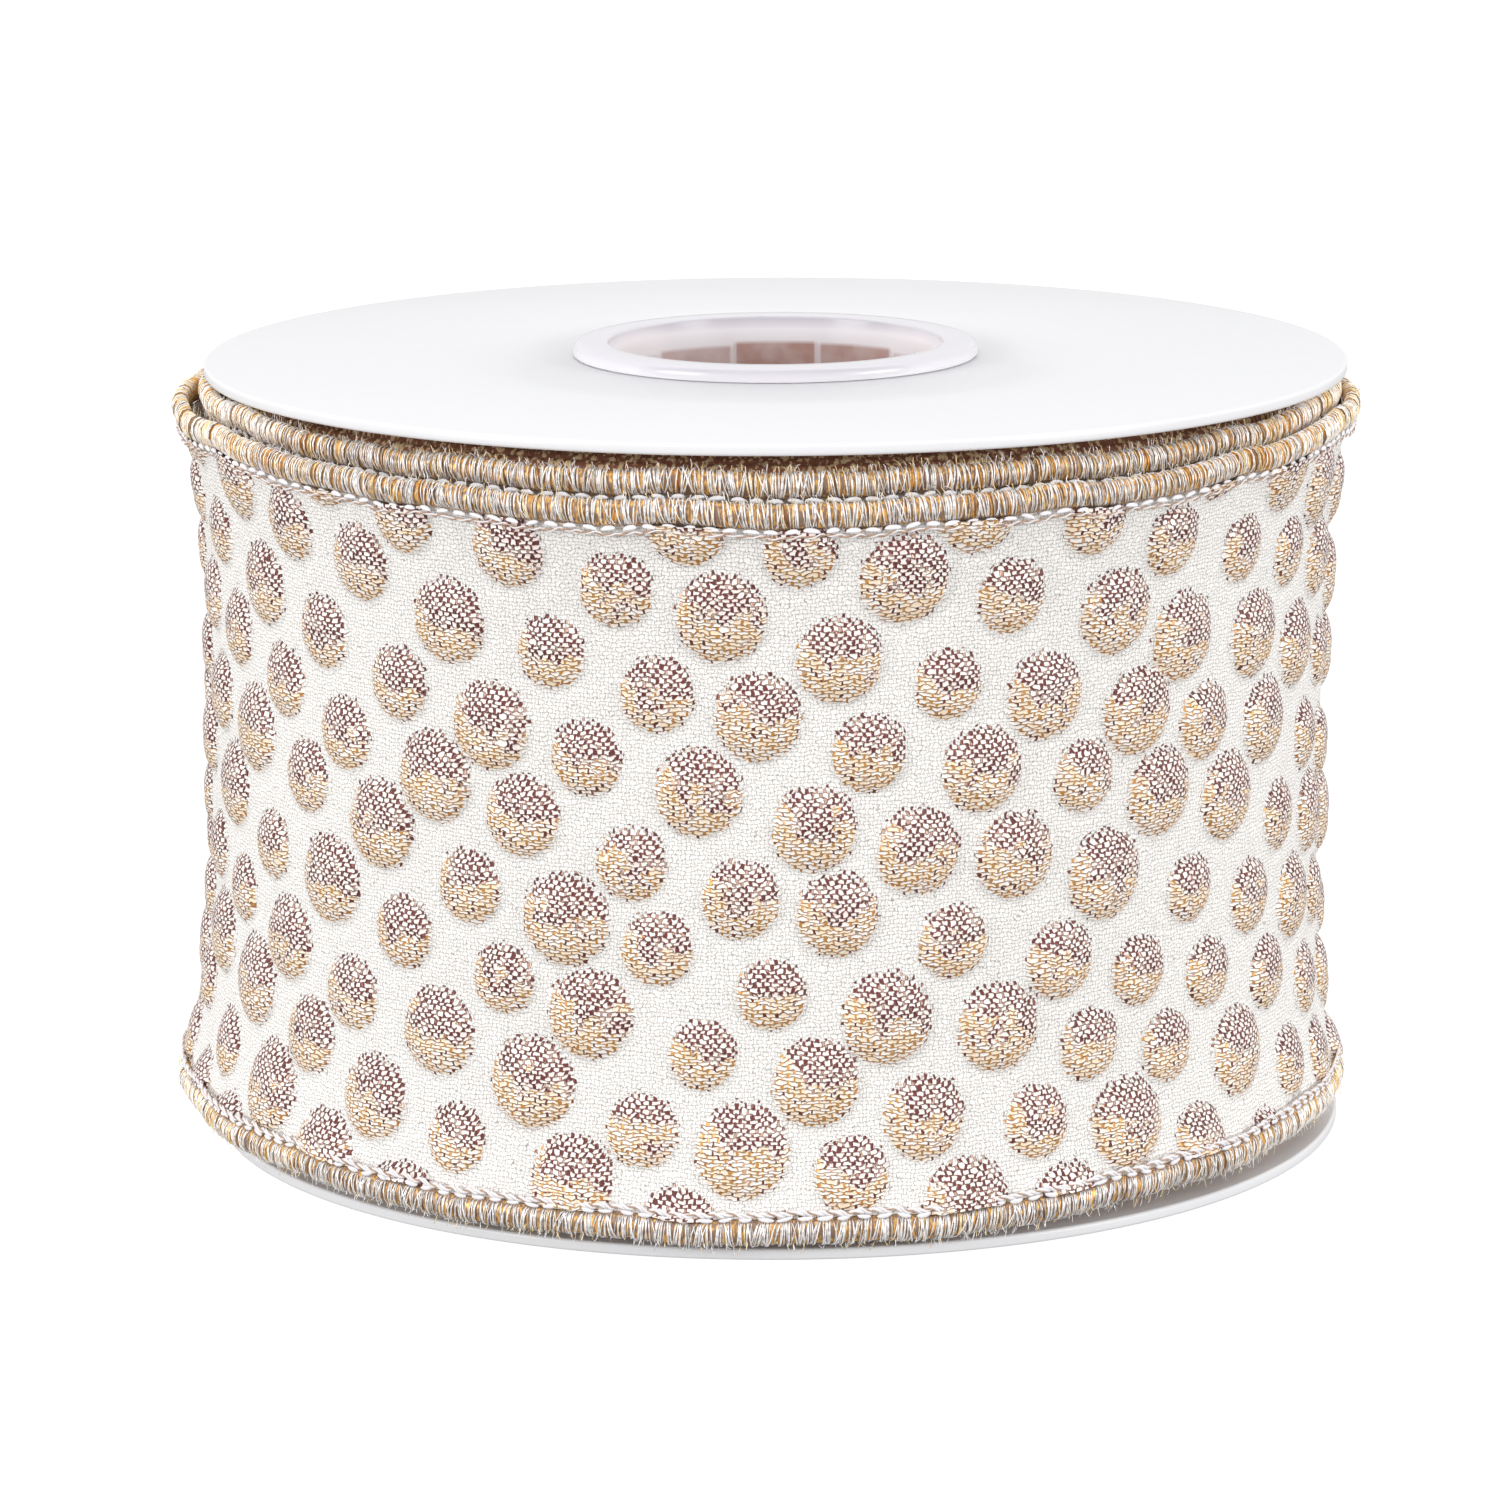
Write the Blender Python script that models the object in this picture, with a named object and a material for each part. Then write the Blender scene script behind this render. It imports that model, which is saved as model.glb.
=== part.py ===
"""Ribbon spool: two flat flanges on a kraft core with moulded hub plugs, wound with wired ribbon.

The spool stands on its lower plug's collar with its axis on +Z. Lengths below are in millimetres.
The ribbon is one strip. It is built as its inner turns, second turn, outer turn and loose tail, and the
last three each carry two rolled hems with a wire inside each.
"""
import math

import bmesh
import bpy
import numpy as np
from mathutils import Matrix

MM = 0.001

# Flanges
FLANGE_R = 50.8            # a 4 in disc
FLANGE_THICK = 1.0
RIM_EASE = 0.25            # rounding of the cut rim

# Hub plugs
BORE_R = 14.9
SLEEVE_WALL = 1.2
COLLAR_LIP = 0.45          # collar beyond the flange's hole
COLLAR_HIGH = 1.0
PLUG_DEEP = 13.0           # foot to tip
PLUG_EASE = 0.3
RIB_COUNT = 12
RIB_WIDE = 0.9
RIB_PROUD = 1.1            # how far the crush ribs stand off the sleeve
RIB_BURY = 0.5             # how far a rib's root sinks into the sleeve
RIB_START = 0.5            # flange's outer face to the start of a rib
RIB_SHORT = 1.0            # rib's end to the plug's tip

# Core tube and tape
CORE_WALL = 1.9
TAPE_THICK = 0.14
TAPE_LONG = 15.0
TAPE_HIGH = 50.0

# Clearances
FACE_GAP = 0.3             # collar to flange, flange to core
SPIN_GAP = 0.35            # flange hole to plug rib
RIB_GAP = 0.3              # plug rib to core wall
TAPE_GAP = 0.07            # core to tape
WRAP_GAP = 0.2             # tape to first turn
HEM_GAP = 0.25             # cloth edge to hem
SEAM_GAP = 0.3             # between the ribbon's lengths
LOW_SLACK = 0.8            # bottom flange to the lowest hem
HIGH_SLACK = 1.37          # highest hem to top flange
NEST_GAP = 0.5             # between the hems of neighbouring turns
HEM_SEAT = 0.4             # hem clear of the cloth it lies over

# Ribbon
RIBBON_WIDTH = 62.67       # hem to hem as wound; it lies 63.5 flat
CLOTH_THICK = 0.4
STAGGER = 1.08             # alternate turns sit this far above and below the middle
STAGGER_STEEPNESS = 4.0
HEM_RADIAL = 1.5
HEM_HIGH = 2.3
HEM_WALL = 0.33
WIRE_R = 0.2
INNER_TURNS = 18.4
TURN_PITCH = 1.2           # waist, turn to turn, of the two outer turns
PACK_OUT = 47.8            # waist radius where the second turn begins
FLARE_POWER = 3            # the cloth runs straight and then curls out to its hems
TAIL_DEG = 35.0
TAIL_LIFT = 0.25           # the loose end springs this far off the roll
LEAN = 0.3                 # the loose outer turn leans this far to the front

# Derived heights and radii
SLEEVE_R = BORE_R + SLEEVE_WALL
RIB_R = SLEEVE_R + RIB_PROUD
FLANGE_HOLE_R = RIB_R + SPIN_GAP
COLLAR_R = FLANGE_HOLE_R + COLLAR_LIP
CORE_IN = RIB_R + RIB_GAP
CORE_OUT = CORE_IN + CORE_WALL
LOW_FACE = COLLAR_HIGH + FACE_GAP
RIBBON_LOW = LOW_FACE + FLANGE_THICK + LOW_SLACK
RIBBON_HIGH = RIBBON_LOW + RIBBON_WIDTH + 2 * STAGGER
HIGH_FACE = RIBBON_HIGH + HIGH_SLACK + FLANGE_THICK
TOTAL_HIGH = HIGH_FACE + FACE_GAP + COLLAR_HIGH
CORE_LOW = LOW_FACE + FLANGE_THICK + FACE_GAP
CORE_HIGH = HIGH_FACE - FLANGE_THICK - FACE_GAP
TAPE_MID_R = CORE_OUT + TAPE_GAP + TAPE_THICK / 2
WRAP_R = TAPE_MID_R + TAPE_THICK / 2 + WRAP_GAP + CLOTH_THICK / 2
RIBBON_MID = (RIBBON_LOW + RIBBON_HIGH) / 2
HEM_PITCH = HEM_RADIAL + NEST_GAP
FIRST_HEM_FLARE = HEM_RADIAL / 2 + HEM_SEAT
HEM_MID = RIBBON_WIDTH / 2 - HEM_HIGH / 2
CLOTH_HALF = HEM_MID - HEM_HIGH / 2 - HEM_GAP
TAIL_TURN = TAIL_DEG / 360.0

# Facets
DISC_STEPS = 90
PLUG_STEPS = 72
TURN_STEPS = 48
INNER_STEPS = 36           # per turn
TAIL_STEPS = 6
CLOTH_ROWS = 9


def clear_scene():
    """Remove whatever the scene starts with."""
    for item in list(bpy.data.objects):
        bpy.data.objects.remove(item, do_unlink=True)


def material(name, colour, rough, metallic=0.0, alpha=1.0):
    """One Principled material."""
    mat = bpy.data.materials.new(name)
    mat.use_nodes = True
    shader = mat.node_tree.nodes["Principled BSDF"]
    shader.inputs["Base Color"].default_value = (*colour, 1.0)
    shader.inputs["Roughness"].default_value = rough
    shader.inputs["Metallic"].default_value = metallic
    shader.inputs["Alpha"].default_value = alpha
    mat.diffuse_color = (*colour, alpha)
    return mat


def add_object(name, data, look):
    """Link one named object with its material."""
    body = bpy.data.objects.new(name, data)
    data.materials.append(material(name, *look))
    bpy.context.scene.collection.objects.link(body)
    return body


def add_mesh(name, work, look):
    """Turn a bmesh in millimetres into an object in metres, smooth and facing out."""
    bmesh.ops.recalc_face_normals(work, faces=work.faces)
    bmesh.ops.transform(work, matrix=Matrix.Scale(MM, 4), verts=work.verts)
    mesh = bpy.data.meshes.new(name)
    work.to_mesh(mesh)
    work.free()
    mesh.shade_smooth()
    return add_object(name, mesh, look)


def spin_ring(profile, steps):
    """Spin a closed outline of (radius, height) once round the axis."""
    work = bmesh.new()
    verts = [work.verts.new((radius, 0, height)) for radius, height in profile]
    edges = [work.edges.new((verts[i - 1], verts[i])) for i in range(len(verts))]
    bmesh.ops.spin(work, geom=verts + edges, cent=(0, 0, 0), axis=(0, 0, 1), angle=2 * math.pi,
                   steps=steps, use_merge=True)
    return work


# ---------------------------------------------------------------- spool

def flange(name, low):
    """Flat disc with a round hole and a lightly eased rim."""
    high = low + FLANGE_THICK
    outline = [(FLANGE_HOLE_R, low), (FLANGE_R - RIM_EASE, low), (FLANGE_R, low + RIM_EASE),
               (FLANGE_R, high - RIM_EASE), (FLANGE_R - RIM_EASE, high), (FLANGE_HOLE_R, high)]
    return add_mesh(name, spin_ring(outline, DISC_STEPS), ((0.86, 0.86, 0.85), 0.35))


def crush_ribs():
    """Upright bars round the sleeve, as one object to unite with it."""
    work = bmesh.new()
    low, high = LOW_FACE + RIB_START, PLUG_DEEP - RIB_SHORT
    for i in range(RIB_COUNT):
        made = bmesh.ops.create_cube(work, size=1.0)["verts"]
        size = Matrix.Diagonal((RIB_PROUD + RIB_BURY, RIB_WIDE, high - low, 1))
        place = Matrix.Translation((SLEEVE_R + (RIB_PROUD - RIB_BURY) / 2, 0, (low + high) / 2))
        turn = Matrix.Rotation(2 * math.pi * (i + 0.5) / RIB_COUNT, 4, "Z")
        bmesh.ops.transform(work, matrix=turn @ place @ size, verts=made)
    ribs = add_mesh("crush_ribs", work, ((0.80, 0.80, 0.76), 0.25))
    return ribs


def hub_plug(name, top):
    """Collar, sleeve and crush ribs in one moulding; the upper plug is the lower one turned over."""
    outline = [(BORE_R, PLUG_EASE), (BORE_R + PLUG_EASE, 0), (COLLAR_R - PLUG_EASE, 0), (COLLAR_R, PLUG_EASE),
               (COLLAR_R, COLLAR_HIGH), (SLEEVE_R, COLLAR_HIGH), (SLEEVE_R, PLUG_DEEP - PLUG_EASE),
               (SLEEVE_R - PLUG_EASE, PLUG_DEEP), (BORE_R, PLUG_DEEP)]
    body = add_mesh(name, spin_ring(outline, PLUG_STEPS), ((0.80, 0.80, 0.76), 0.25, 0.0, 0.6))
    ribs = crush_ribs()
    join = body.modifiers.new("ribs", "BOOLEAN")
    join.operation = "UNION"
    join.solver = "EXACT"
    join.object = ribs
    depsgraph = bpy.context.evaluated_depsgraph_get()
    joined = bpy.data.meshes.new_from_object(body.evaluated_get(depsgraph))
    body.modifiers.clear()
    body.data = joined
    bpy.data.objects.remove(ribs, do_unlink=True)
    if top:
        body.rotation_euler.x = math.pi
        body.location.z = TOTAL_HIGH * MM
    return body


def core_tube():
    """Kraft tube that the ribbon is wound on."""
    outline = [(CORE_IN, CORE_LOW), (CORE_OUT, CORE_LOW), (CORE_OUT, CORE_HIGH), (CORE_IN, CORE_HIGH)]
    return add_mesh("core_tube", spin_ring(outline, PLUG_STEPS), ((0.50, 0.33, 0.22), 0.8))


# ---------------------------------------------------------------- ribbon's path

def heading(turns):
    """Unit direction from the axis; turns count clockwise from the back (+Y)."""
    angle = math.pi / 2 - 2 * math.pi * turns
    return np.cos(angle), np.sin(angle)


def stagger(turns):
    """Height offset: one turn high and the next low, changing over at the back."""
    wave = np.tanh(STAGGER_STEEPNESS * np.sin(math.pi * turns))
    return STAGGER * wave / math.tanh(STAGGER_STEEPNESS)


def waist_radius(turns):
    """Radius of the cloth at mid width; turn 0 is where the second turn begins."""
    inner = PACK_OUT + turns * (PACK_OUT - WRAP_R) / INNER_TURNS
    outer = PACK_OUT + turns * TURN_PITCH
    return np.where(turns < 0, inner, outer) + TAIL_LIFT * np.clip((turns - 2) / TAIL_TURN, 0, 1)


def hem_radius(turns):
    """Radius of a hem's centre line."""
    flare = FIRST_HEM_FLARE + turns * (HEM_PITCH - TURN_PITCH)
    return waist_radius(turns) + flare


def lean(turns):
    """Shift of the loose outer turn towards the front, faded in over its first fifth."""
    return -LEAN * np.clip((turns - 1) * 5, 0, 1)


def place(turns, radius, height):
    """Points in space for matching arrays of turns, radius and height."""
    x, y = heading(turns)
    return np.stack(np.broadcast_arrays(x * radius, y * radius + lean(turns), height), -1)


# ---------------------------------------------------------------- ribbon's pieces

def thick_sheet(name, grid, thick, look):
    """Closed sheet: a grid of middle points given its thickness by a Solidify modifier."""
    work = bmesh.new()
    rows = [[work.verts.new(point) for point in row] for row in grid]
    for near, far in zip(rows, rows[1:]):
        for j in range(len(near) - 1):
            work.faces.new((near[j], near[j + 1], far[j + 1], far[j]))
    sheet = add_mesh(name, work, look)
    solid = sheet.modifiers.new("thickness", "SOLIDIFY")
    solid.thickness = thick * MM
    solid.offset = 0.0
    return sheet


def cloth(name, turns):
    """Length of cloth, straight at its waist and flared out to its two hems."""
    across = np.linspace(-1, 1, CLOTH_ROWS)[None, :]
    turns = turns[:, None]
    flare = (hem_radius(turns) - waist_radius(turns)) * np.abs(across) ** FLARE_POWER
    grid = place(turns, waist_radius(turns) + flare, RIBBON_MID + stagger(turns) + across * CLOTH_HALF)
    return thick_sheet(name, grid, CLOTH_THICK, ((0.80, 0.74, 0.66), 0.85))


def inner_turns():
    """The turns nobody sees, wound on the core as one plain spiral strip."""
    seam = SEAM_GAP / (2 * math.pi * PACK_OUT)
    turns = np.linspace(-INNER_TURNS, -seam, int(INNER_TURNS * INNER_STEPS))[:, None]
    across = np.array([[-1.0, 1.0]]) * RIBBON_WIDTH / 2
    grid = place(turns, waist_radius(turns), RIBBON_MID + stagger(turns) + across)
    return thick_sheet("ribbon_inner_turns", grid, CLOTH_THICK, ((0.78, 0.72, 0.62), 0.85))


def start_tape():
    """Double-sided tape between the core and the ribbon's first few millimetres."""
    span = TAPE_LONG / (2 * math.pi * CORE_OUT)
    turns = np.linspace(-INNER_TURNS, span - INNER_TURNS, TAIL_STEPS)[:, None]
    across = np.array([[-1.0, 1.0]]) * TAPE_HIGH / 2
    grid = place(turns, TAPE_MID_R, RIBBON_MID + across)
    return thick_sheet("start_tape", grid, TAPE_THICK, ((0.85, 0.82, 0.70), 0.4))


def path_curve(name, turns, side, look):
    """Poly curve along a hem's centre; side is +1 for the top edge and -1 for the bottom one."""
    centre = place(turns, hem_radius(turns), RIBBON_MID + stagger(turns) + side * HEM_MID) * MM
    curve = bpy.data.curves.new(name, "CURVE")
    curve.dimensions = "3D"
    curve.twist_mode = "Z_UP"
    line = curve.splines.new("POLY")
    line.points.add(len(turns) - 1)
    line.points.foreach_set("co", np.column_stack([centre, np.ones(len(turns))]).ravel())
    return add_object(name, curve, look)


def oval_section():
    """Outline of the rolled hem, measured to the middle of its wall."""
    curve = bpy.data.curves.new("hem_section", "CURVE")
    line = curve.splines.new("POLY")
    angle = np.arange(8) / 8 * 2 * math.pi
    wide, high = (HEM_RADIAL - HEM_WALL) / 2 * MM, (HEM_HIGH - HEM_WALL) / 2 * MM
    line.points.add(len(angle) - 1)
    points = np.column_stack([np.cos(angle) * wide, np.sin(angle) * high, 0 * angle, 0 * angle + 1])
    line.points.foreach_set("co", points.ravel())
    line.use_cyclic_u = True
    section = bpy.data.objects.new("hem_section", curve)
    bpy.context.scene.collection.objects.link(section)
    return section


def hem(name, turns, side):
    """Rolled and overlocked edge: an oval tube, open at both ends, with room for the wire."""
    section = oval_section()
    guide = path_curve(name, turns, side, ((0.74, 0.52, 0.24), 0.6))
    guide.data.bevel_mode = "OBJECT"
    guide.data.bevel_object = section
    depsgraph = bpy.context.evaluated_depsgraph_get()
    mesh = bpy.data.meshes.new_from_object(guide.evaluated_get(depsgraph))
    bpy.data.objects.remove(guide, do_unlink=True)
    bpy.data.objects.remove(section, do_unlink=True)
    mesh.shade_smooth()
    roll = bpy.data.objects.new(name, mesh)
    bpy.context.scene.collection.objects.link(roll)
    wall = roll.modifiers.new("wall", "SOLIDIFY")
    wall.thickness = HEM_WALL * MM
    wall.offset = 0.0
    return roll


def wire(name, turns, side):
    """Thin annealed wire in the hem's hollow."""
    strand = path_curve(name, turns, side, ((0.55, 0.50, 0.42), 0.35, 1.0))
    strand.data.bevel_depth = WIRE_R * MM
    strand.data.bevel_resolution = 0
    strand.data.use_fill_caps = True
    return strand


def ribbon_length(label, first, last, steps):
    """One length of ribbon: its cloth, two hems and two wires."""
    turns = np.linspace(first, last, steps + 1)
    pieces = [cloth("ribbon_" + label, turns)]
    for word, side in (("top", 1), ("bottom", -1)):
        pieces.append(hem(f"{label}_{word}_hem", turns, side))
        pieces.append(wire(f"{label}_{word}_wire", turns, side))
    return pieces


def hinge_tail(pieces):
    """Parent the tail's pieces to an empty on their outer face, so nothing swings back into the roll."""
    axis = bpy.data.objects.new("tail_axis", None)
    bpy.context.scene.collection.objects.link(axis)
    outside = hem_radius(np.float64(2)) + HEM_RADIAL / 2
    axis.location = (0, (outside - LEAN) * MM, RIBBON_MID * MM)
    bpy.context.view_layer.update()
    for piece in pieces:
        piece.parent = axis
        piece.matrix_parent_inverse = axis.matrix_world.inverted()


def build_spool():
    """Make every piece, from the foot up and from the core out."""
    clear_scene()
    hub_plug("lower_hub_plug", top=False)
    flange("bottom_flange", LOW_FACE)
    core_tube()
    start_tape()
    inner_turns()
    seam = SEAM_GAP / (2 * math.pi * hem_radius(np.float64(1)))
    ribbon_length("second_turn", 0.0, 1.0 - seam, TURN_STEPS)
    ribbon_length("outer_turn", 1.0, 2.0 - seam, TURN_STEPS)
    hinge_tail(ribbon_length("tail", 2.0, 2.0 + TAIL_TURN, TAIL_STEPS))
    flange("top_flange", HIGH_FACE - FLANGE_THICK)
    hub_plug("upper_hub_plug", top=True)


build_spool()
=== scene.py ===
"""A spool of wide wired-edge ribbon with puffed metallic dots, put together from the core outwards."""
import math

import bmesh
import bpy
import numpy as np
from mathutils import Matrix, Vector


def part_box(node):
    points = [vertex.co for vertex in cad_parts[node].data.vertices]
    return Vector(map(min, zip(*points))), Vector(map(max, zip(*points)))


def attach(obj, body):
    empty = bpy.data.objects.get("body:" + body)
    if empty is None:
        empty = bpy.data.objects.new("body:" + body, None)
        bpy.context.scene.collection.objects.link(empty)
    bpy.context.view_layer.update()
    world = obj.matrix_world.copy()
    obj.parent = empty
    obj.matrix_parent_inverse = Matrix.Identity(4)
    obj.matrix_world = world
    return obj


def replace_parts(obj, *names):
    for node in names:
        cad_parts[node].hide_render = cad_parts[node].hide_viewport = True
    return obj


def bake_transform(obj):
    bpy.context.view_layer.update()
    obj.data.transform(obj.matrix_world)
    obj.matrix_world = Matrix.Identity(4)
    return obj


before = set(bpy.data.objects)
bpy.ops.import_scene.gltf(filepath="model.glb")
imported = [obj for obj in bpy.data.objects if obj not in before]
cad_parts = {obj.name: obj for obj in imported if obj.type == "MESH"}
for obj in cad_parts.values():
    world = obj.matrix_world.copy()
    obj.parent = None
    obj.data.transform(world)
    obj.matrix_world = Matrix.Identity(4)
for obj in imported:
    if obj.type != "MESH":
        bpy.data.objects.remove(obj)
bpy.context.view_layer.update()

# ---------------------------------------------------------------------------------------------
# Hub plugs. Two identical mouldings in natural translucent plastic, pushed into the core's ends.
# A low collar holds each flange on, and crush ribs down the sleeve grip the inside of the tube.
MM = 0.001
plug_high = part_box("lower_hub_plug")[1]
flange_low, flange_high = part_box("bottom_flange")
spool_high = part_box("upper_hub_plug")[1].z / MM
COLLAR_R = plug_high.x / MM
PLUG_DEEP = plug_high.z / MM
COLLAR_HIGH = 1.26         # the collar stops just short of the flange
BORE_R = 14.9
SLEEVE_R = 16.1
RIB_R = 17.2
RIB_COUNT = 12
RIB_WIDE = 0.9
RIB_FROM = flange_low.z / MM + 0.5


def quad_mesh(name, points, quads, corners=None):
    """A smooth object of four-sided faces: points in millimetres, and each face as four point numbers.

    corners gives each corner of each face its place on the pattern map."""
    mesh = bpy.data.meshes.new(name)
    mesh.vertices.add(points.size // 3)
    mesh.vertices.foreach_set("co", (points.reshape(-1, 3) * MM).astype(np.float32).ravel())
    mesh.loops.add(quads.size)
    mesh.loops.foreach_set("vertex_index", quads.astype(np.int32).ravel())
    mesh.polygons.add(len(quads))
    mesh.polygons.foreach_set("loop_start", np.arange(0, quads.size, 4, dtype=np.int32))
    if corners is not None:
        mesh.uv_layers.new(name="pattern").data.foreach_set("uv", corners.astype(np.float32).ravel())
    mesh.update(calc_edges=True)
    mesh.validate()
    mesh.polygons.foreach_set("use_smooth", np.full(len(mesh.polygons), True))
    made = bpy.data.objects.new(name, mesh)
    bpy.context.scene.collection.objects.link(made)
    return made


def surface(name, grid, around=False, along=False, uv=None):
    """A mesh on a grid of points in millimetres, shaped (rows, columns, 3).

    around joins the last column to the first and along joins the last row to the first. uv is a grid of
    the same shape that gives each point its place on the pattern map."""
    rows, cols = grid.shape[:2]
    index = np.arange(rows * cols).reshape(rows, cols)
    at_row, at_col = np.meshgrid(np.arange(rows + along), np.arange(cols + around), indexing="ij")
    index = index[at_row % rows, at_col % cols]
    here, on = slice(None, -1), slice(1, None)
    steps = [(here, here), (here, on), (on, on), (on, here)]
    quads = np.stack([index[a, b] for a, b in steps], -1).reshape(-1, 4)
    corners = None if uv is None else np.stack([uv[a, b] for a, b in steps], 2)
    return quad_mesh(name, grid, quads, corners)


def finish(name):
    """A new Principled material: the material, its node tree and its shader."""
    made = bpy.data.materials.new(name)
    made.use_nodes = True
    return made, made.node_tree, made.node_tree.nodes["Principled BSDF"]


def feed(tree, node, inputs):
    """Set a node's inputs; each is a value or another node's output."""
    for key, value in inputs.items():
        if isinstance(value, bpy.types.NodeSocket):
            tree.links.new(value, node.inputs[key])
        else:
            node.inputs[key].default_value = value


def put(tree, kind, inputs=None, **settings):
    """One new shader node with its settings and its inputs."""
    made = tree.nodes.new("ShaderNode" + kind)
    for key, value in settings.items():
        setattr(made, key, value)
    feed(tree, made, inputs or {})
    return made


def calc(tree, operation, *values):
    """The output of one Math node."""
    return put(tree, "Math", dict(enumerate(values)), operation=operation).outputs[0]


def colours(tree, factor, low, high):
    """A blend of two colours; each is a colour or a node's output."""
    low, high = [c if isinstance(c, bpy.types.NodeSocket) else (*c, 1.0) for c in (low, high)]
    return put(tree, "Mix", {0: factor, 6: low, 7: high}, data_type="RGBA").outputs[2]


def step(tree, value, low, high):
    """Value run from 0 at low to 1 at high, and held outside."""
    return put(tree, "MapRange", {"Value": value, "From Min": low, "From Max": high}).outputs[0]


def noise(tree, place, scale, detail=2.0):
    """Smooth noise from 0 to 1; scale is in waves to one unit of place."""
    return put(tree, "TexNoise", {"Vector": place, "Scale": scale, "Detail": detail}).outputs["Fac"]


def on_object(tree):
    """The place on the object, in metres."""
    return put(tree, "TexCoord").outputs["Object"]


def natural_plastic():
    """Milky plastic that carries light inside. About 2 mm down the brown core shows through in blocks.

    A block lies between two ribs, and a rib shows as a lighter bar. How strong and how tall a block is
    follows a wave round the axis: one half plus half the cosine of 1.25 times the block's number, less
    3.375. A faint glow within stands for the light that the wall carries."""
    made, tree, shader = finish("natural_plastic")
    place = on_object(tree)
    split = put(tree, "SeparateXYZ", {0: place})
    turned_by = calc(tree, "ARCTAN2", split.outputs[1], split.outputs[0])
    block = calc(tree, "ADD", calc(tree, "MULTIPLY", turned_by, RIB_COUNT / 2 / math.pi), 0.5)
    wave = calc(tree, "COSINE", calc(tree, "MULTIPLY_ADD", calc(tree, "FLOOR", block), 1.25, -3.375))
    strong = calc(tree, "MULTIPLY_ADD", wave, 0.5, 0.5)
    off_middle = calc(tree, "ABSOLUTE", calc(tree, "SUBTRACT", calc(tree, "FRACT", block), 0.5))
    rib = step(tree, off_middle, 0.45, 0.475)
    up = split.outputs[2]
    deep = calc(tree, "MINIMUM", up, calc(tree, "SUBTRACT", spool_high * MM, up))
    limit = calc(tree, "MULTIPLY_ADD", strong, -0.0006, 0.0028)
    through = step(tree, calc(tree, "SUBTRACT", deep, limit), 0.0, 0.0004)
    depth = calc(tree, "MULTIPLY", through, calc(tree, "MULTIPLY_ADD", strong, 0.40, 0.45))
    depth = calc(tree, "MULTIPLY", depth, calc(tree, "MULTIPLY_ADD", noise(tree, place, 500.0), 0.7, 0.6))
    depth = calc(tree, "MULTIPLY", depth, calc(tree, "MULTIPLY_ADD", rib, -0.6, 1.0))
    within = step(tree, deep, 0.0003, 0.0012)
    milky = colours(tree, within, (0.63, 0.605, 0.66), (0.90, 0.88, 0.91))
    seen = colours(tree, depth, milky, (0.42, 0.22, 0.17))
    feed(tree, shader, {"Base Color": seen, "Emission Color": seen,
                        "Emission Strength": calc(tree, "MULTIPLY", within, 0.08),
                        "Transmission Weight": 0.25, "IOR": 1.49, "Roughness": 0.22})
    return made


def plug_outline():
    """Section of collar and sleeve, with both collar edges rounded; the last value marks ribbed points."""
    ease = np.linspace(0, math.pi / 2, 5)
    foot_in = [(BORE_R + 0.3 - 0.3 * math.cos(a), 0.3 - 0.3 * math.sin(a), 0) for a in ease]
    foot_out = [(COLLAR_R - 0.7 + 0.7 * math.sin(a), 0.7 - 0.7 * math.cos(a), 0) for a in ease]
    tip = PLUG_DEEP
    return foot_in + foot_out + [
        (COLLAR_R, COLLAR_HIGH - 0.1, 0), (COLLAR_R - 0.1, COLLAR_HIGH, 0),
        (SLEEVE_R + 0.15, COLLAR_HIGH, 0), (SLEEVE_R, COLLAR_HIGH + 0.15, 0),
        (SLEEVE_R, RIB_FROM, 0), (SLEEVE_R, RIB_FROM + 0.02, 1), (SLEEVE_R, tip - 1.3, 1),
        (SLEEVE_R, tip - 0.9, 0), (SLEEVE_R, tip - 0.3, 0), (SLEEVE_R - 0.3, tip, 0),
        (BORE_R + 0.1, tip, 0), (BORE_R, tip - 0.1, 0)]


def hub_plug(name, top):
    """The section carried round the axis. Ribbed points step out to the rib's face within its width."""
    r, z, ribbed = np.asarray(plug_outline(), float).T
    half = RIB_WIDE / 2 / RIB_R
    flank = np.array([-half * 1.08, -half, half, half * 1.08])
    between = np.linspace(half * 1.08, 2 * math.pi / RIB_COUNT - half * 1.08, 20)[1:-1]
    local = np.concatenate([flank, between])
    on_rib = np.concatenate([[0, 1, 1, 0], np.zeros(len(between))])
    angle = ((np.arange(RIB_COUNT)[:, None] + 0.5) * 2 * math.pi / RIB_COUNT + local).ravel()
    radius = r + (RIB_R - SLEEVE_R) * np.tile(on_rib, RIB_COUNT)[:, None] * ribbed
    x, y = np.cos(angle)[:, None] * radius, np.sin(angle)[:, None] * radius
    if top:
        y, z = -y, spool_high - z
    grid = np.stack(np.broadcast_arrays(x, y, z), -1)
    made = surface(name, grid, around=True, along=True)
    made.data.materials.append(plug_finish)
    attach(made, "wound_core")
    return made


plug_finish = natural_plastic()
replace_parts(hub_plug("lower_plug", top=False), "lower_hub_plug")
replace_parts(hub_plug("upper_plug", top=True), "upper_hub_plug")

# ---------------------------------------------------------------------------------------------
# Core tube. Bare kraft board with plain cut ends, seen only through the plugs.
# The plugs press into its ends and the ribbon is wound straight on to it.
core_low, core_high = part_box("core_tube")
CORE_OUT = core_high.x / MM
CORE_IN = RIB_R + 0.3


def turned(name, outline, steps):
    """An outline of (radius, height) carried once round the axis: x = r cos a, y = r sin a."""
    angle = np.arange(steps) / steps * 2 * math.pi
    r, z = np.asarray(outline, float).T
    grid = np.stack(np.broadcast_arrays(np.cos(angle)[:, None] * r, np.sin(angle)[:, None] * r, z), -1)
    return surface(name, grid, around=True, along=True)


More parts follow.
